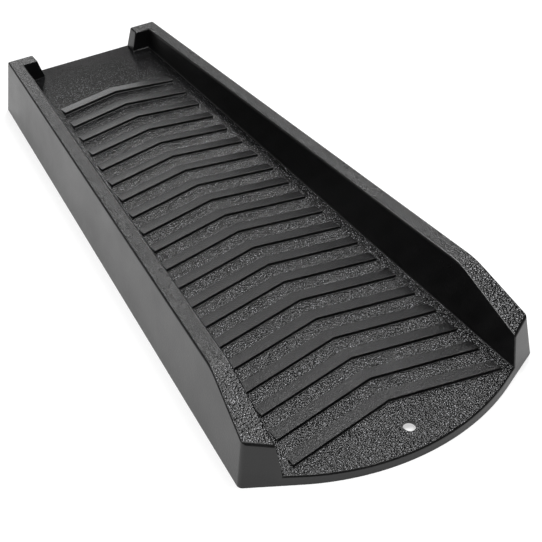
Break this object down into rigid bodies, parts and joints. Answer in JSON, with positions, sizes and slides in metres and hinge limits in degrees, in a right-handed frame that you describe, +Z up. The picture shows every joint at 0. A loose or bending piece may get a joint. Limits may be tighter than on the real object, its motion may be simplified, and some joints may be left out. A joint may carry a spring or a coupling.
{
  "type": "downspout splash block",
  "caption": "Tapered open trough with side walls, a sloping floor with chevron ribs, a rounded front and a stake hole.",
  "frame": {"origin": "bottom centre of the overall box, on the ground", "axes": "+Z up, +Y towards the narrow back end under the downspout, -Y towards the wide rounded front"},
  "size_m": [0.2664, 0.61, 0.0599],
  "materials": {
    "smooth_shell": "smooth satin black polypropylene",
    "grained_floor": "black polypropylene with a coarse moulded pebble grain",
    "rib_face": "black polypropylene with a moulded grain, worn a little smoother than the floor",
    "fine_rim": "black polypropylene with a fine moulded grain"
  },
  "bodies": {
    "root": {"floor_panel": "grained_floor", "front_apron": "grained_floor", "left_return": "smooth_shell", "right_return": "smooth_shell", "back_skirt": "smooth_shell", "cross_web_1": "smooth_shell", "cross_web_2": "smooth_shell", "cross_web_3": "smooth_shell", "left_outer_skin": "smooth_shell", "left_inner_skin": "smooth_shell", "left_rim": "fine_rim", "left_rim_slope": "fine_rim", "left_nose_end": "smooth_shell", "left_back_end": "smooth_shell", "right_outer_skin": "smooth_shell", "right_inner_skin": "smooth_shell", "right_rim": "fine_rim", "right_rim_slope": "fine_rim", "right_nose_end": "smooth_shell", "right_back_end": "smooth_shell", "rib_01": "rib_face", "rib_02": "rib_face", "rib_03": "rib_face", "rib_04": "rib_face", "rib_05": "rib_face", "rib_06": "rib_face", "rib_07": "rib_face", "rib_08": "rib_face", "rib_09": "rib_face", "rib_10": "rib_face", "rib_11": "rib_face", "rib_12": "rib_face", "rib_13": "rib_face", "rib_14": "rib_face", "rib_15": "rib_face", "rib_16": "rib_face", "rib_17": "rib_face", "rib_18": "rib_face", "rib_19": "rib_face", "rib_20": "rib_face"}
  },
  "joints": []
}
